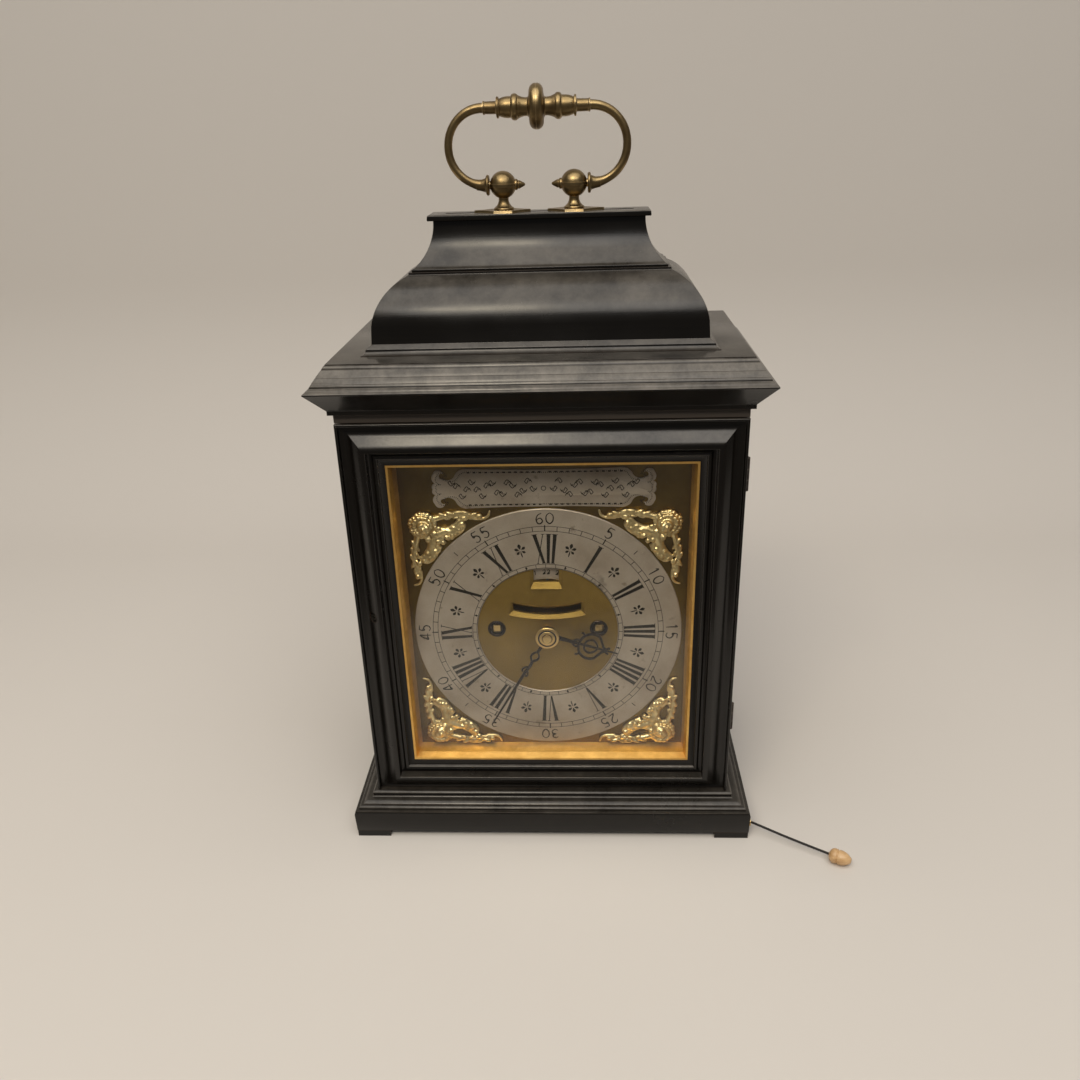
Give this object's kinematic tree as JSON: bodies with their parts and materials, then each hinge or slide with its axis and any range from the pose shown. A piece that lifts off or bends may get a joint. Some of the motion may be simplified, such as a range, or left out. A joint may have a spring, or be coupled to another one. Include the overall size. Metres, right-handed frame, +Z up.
{
  "type": "bracket clock",
  "caption": "Ebonised bracket clock with a caddy top, carrying handle, glazed doors, brass dial with applied ring and corner mounts, and a verge movement with a bell.",
  "frame": {"origin": "bottom centre of the clock, on the surface it stands on, without the pull cord", "axes": "+Z up; the dial faces -Y; +X is to the right of someone facing the dial"},
  "size_m": [0.3104, 0.1784, 0.4393],
  "materials": {
    "ebonised_wood": "ebonised pearwood, polished",
    "carcase_oak": "plain oak, waxed",
    "gilt_brass": "fire-gilt, bright",
    "dial_brass": "matted and lacquered",
    "silvered_brass": "silvered, engraved and waxed",
    "handle_brass": "cast, aged and polished on the high points",
    "movement_brass": "polished plates and wheels",
    "bell_metal": "cast bell metal, turned",
    "blued_steel": "blued and polished",
    "arbor_steel": "turned and polished",
    "hinge_iron": "dark iron",
    "clear_glass": "thin old glass",
    "black_cord": "plaited silk",
    "acorn_wood": "turned hardwood, worn"
  },
  "bodies": {
    "case": {"feet": "ebonised_wood", "plinth": "ebonised_wood", "base_moulding": "ebonised_wood", "floor_board": "ebonised_wood", "side_left": "ebonised_wood", "side_right": "ebonised_wood", "side_glass": "clear_glass", "top_board": "ebonised_wood", "cornice": "ebonised_wood", "caddy_ovolo": "ebonised_wood", "caddy_cavetto": "ebonised_wood", "caddy_cap": "ebonised_wood", "handle_mounts": "handle_brass", "case_hinges": "hinge_iron", "dial_mask": "gilt_brass", "dial_plate": "dial_brass", "chapter_ring": "silvered_brass", "nameplate": "silvered_brass", "spandrels": "gilt_brass", "front_plate": "movement_brass", "back_plate": "movement_brass", "plate_pillars": "movement_brass", "seat_board": "carcase_oak", "escapement_cocks": "movement_brass", "fusee_chain": "arbor_steel", "bell": "bell_metal", "bell_stand": "arbor_steel", "pull_cord": "black_cord", "cord_bush": "movement_brass", "pull_acorn": "acorn_wood"},
    "handle": {"carrying_handle": "handle_brass"},
    "front_door": {"front_door": "ebonised_wood", "front_glass": "clear_glass", "sight_slip": "gilt_brass", "door_lock": "movement_brass", "front_door_hinges": "hinge_iron"},
    "lock_bolt": {"lock_bolt": "arbor_steel"},
    "back_door": {"back_door": "ebonised_wood", "back_glass": "clear_glass", "back_door_hinges": "hinge_iron"},
    "back_catch": {"back_catch": "movement_brass"},
    "minute_arbor": {"centre_wheel": "movement_brass", "cannon_pinion": "arbor_steel", "minute_hand": "blued_steel", "hand_collet": "gilt_brass"},
    "hour_pipe": {"hour_wheel": "movement_brass", "hour_hand": "blued_steel"},
    "minute_wheel": {"minute_wheel": "movement_brass"},
    "fusee": {"fusee": "movement_brass"},
    "going_barrel": {"going_barrel": "movement_brass"},
    "contrate_wheel": {"contrate_wheel": "movement_brass"},
    "crown_wheel": {"crown_wheel": "movement_brass"},
    "verge": {"verge": "arbor_steel", "pendulum_bob": "movement_brass", "mock_bob": "movement_brass"},
    "strike_barrel": {"strike_barrel": "movement_brass"},
    "pin_wheel": {"pin_wheel": "movement_brass"},
    "fly": {"fly": "movement_brass"},
    "hammer": {"hammer": "arbor_steel"},
    "date_ring": {"date_ring": "silvered_brass"}
  },
  "joints": [
    {"name": "front_door_hinge", "type": "hinge", "parent": "case", "child": "front_door", "pos_m": [0.1134, -0.0527, 0.15], "axis": [0, 0, 1], "range_deg": [0, 150]},
    {"name": "lock_bolt_slide", "type": "slide", "parent": "front_door", "child": "lock_bolt", "axis": [-1, 0, 0], "range_m": [0, 0.0026]},
    {"name": "back_door_hinge", "type": "hinge", "parent": "case", "child": "back_door", "pos_m": [0.1017, 0.0636, 0.15], "axis": [0, 0, -1], "range_deg": [0, 115]},
    {"name": "back_catch_turn", "type": "hinge", "parent": "case", "child": "back_catch", "pos_m": [-0.107, 0.063, 0.15], "axis": [0, -1, 0], "range_deg": [0, 90]},
    {"name": "handle_hinge", "type": "hinge", "parent": "case", "child": "handle", "pos_m": [0, 0, 0.3895], "axis": [1, 0, 0], "range_deg": [-125, 125]},
    {"name": "minute_hand_turn", "type": "hinge", "parent": "case", "child": "minute_arbor", "pos_m": [0, 0, 0.1334], "axis": [0, 1, 0], "continuous": true},
    {"name": "hour_hand_turn", "type": "hinge", "parent": "case", "child": "hour_pipe", "pos_m": [0, 0, 0.1334], "axis": [0, 1, 0], "continuous": true},
    {"name": "minute_wheel_turn", "type": "hinge", "parent": "case", "child": "minute_wheel", "pos_m": [0, 0, 0.119], "axis": [0, 1, 0], "continuous": true},
    {"name": "fusee_turn", "type": "hinge", "parent": "case", "child": "fusee", "pos_m": [0.03146, 0, 0.135], "axis": [0, 1, 0], "continuous": true},
    {"name": "going_barrel_turn", "type": "hinge", "parent": "case", "child": "going_barrel", "pos_m": [0.037, 0, 0.084], "axis": [0, 1, 0], "continuous": true},
    {"name": "contrate_turn", "type": "hinge", "parent": "case", "child": "contrate_wheel", "pos_m": [0, 0, 0.1631], "axis": [0, 1, 0], "continuous": true},
    {"name": "crown_wheel_turn", "type": "hinge", "parent": "case", "child": "crown_wheel", "pos_m": [0, -0.005, 0.195], "axis": [0, 0, 1], "continuous": true},
    {"name": "pendulum_swing", "type": "hinge", "parent": "case", "child": "verge", "pos_m": [0, 0, 0.222], "axis": [0, 1, 0], "range_deg": [-15, 15]},
    {"name": "strike_barrel_turn", "type": "hinge", "parent": "case", "child": "strike_barrel", "pos_m": [-0.03146, 0, 0.135], "axis": [0, 1, 0], "continuous": true},
    {"name": "pin_wheel_turn", "type": "hinge", "parent": "case", "child": "pin_wheel", "pos_m": [-0.03702, 0, 0.16651], "axis": [0, 1, 0], "continuous": true},
    {"name": "fly_turn", "type": "hinge", "parent": "case", "child": "fly", "pos_m": [-0.02512, 0, 0.18713], "axis": [0, 1, 0], "continuous": true},
    {"name": "hammer_lift", "type": "hinge", "parent": "case", "child": "hammer", "pos_m": [-0.062, 0.008, 0.19], "axis": [0, -1, 0], "range_deg": [0, 14]},
    {"name": "date_ring_turn", "type": "hinge", "parent": "case", "child": "date_ring", "pos_m": [0, 0, 0.1334], "axis": [0, 1, 0], "continuous": true}
  ],
  "couplings": [
    {"joint": "hour_hand_turn", "follows": "minute_hand_turn", "ratio": 0.083333},
    {"joint": "minute_wheel_turn", "follows": "minute_hand_turn", "ratio": -0.33333},
    {"joint": "fusee_turn", "follows": "minute_hand_turn", "ratio": -0.125},
    {"joint": "going_barrel_turn", "follows": "minute_hand_turn", "ratio": -0.08},
    {"joint": "contrate_turn", "follows": "minute_hand_turn", "ratio": -8},
    {"joint": "crown_wheel_turn", "follows": "minute_hand_turn", "ratio": 40},
    {"joint": "pin_wheel_turn", "follows": "strike_barrel_turn", "ratio": -7},
    {"joint": "fly_turn", "follows": "strike_barrel_turn", "ratio": 42}
  ]
}
